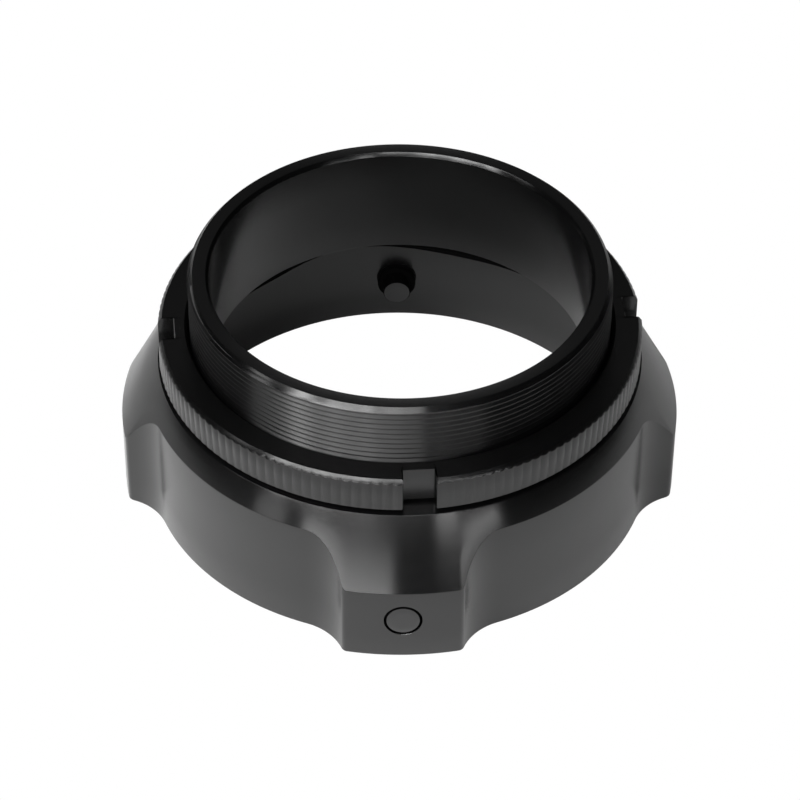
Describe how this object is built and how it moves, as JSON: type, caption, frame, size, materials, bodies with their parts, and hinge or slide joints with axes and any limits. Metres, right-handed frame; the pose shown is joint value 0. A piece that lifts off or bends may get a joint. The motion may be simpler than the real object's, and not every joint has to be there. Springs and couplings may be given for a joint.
{
  "type": "step-down ring",
  "caption": "Step-down adapter ring: a lobed base that slips over a barrel, a male threaded front with a slotted, knurled lock ring, and radial locating pins.",
  "frame": {"origin": "centre of the open base face, on the optical axis", "axes": "+Z along the optical axis, from the open base towards the threaded rim; +Y towards the rear pin and -Y towards the front pin of the picture"},
  "size_m": [0.0698, 0.0698, 0.0314],
  "materials": {
    "anodised_body": "black anodised, satin, turned and milled",
    "anodised_ring": "black anodised, satin, knurled edge",
    "pin": "blackened, turned",
    "soft": "matt black"
  },
  "bodies": {
    "clamp": {"clamp_body": "anodised_body", "front_pin": "pin", "rear_pin": "pin", "seat_ring": "soft"},
    "lock_ring": {"lock_ring": "anodised_ring"}
  },
  "joints": [
    {"name": "lock_ring_turn", "type": "hinge", "parent": "clamp", "child": "lock_ring", "pos_m": [0, 0, 0.0214], "axis": [0, 0, 1], "continuous": true}
  ]
}
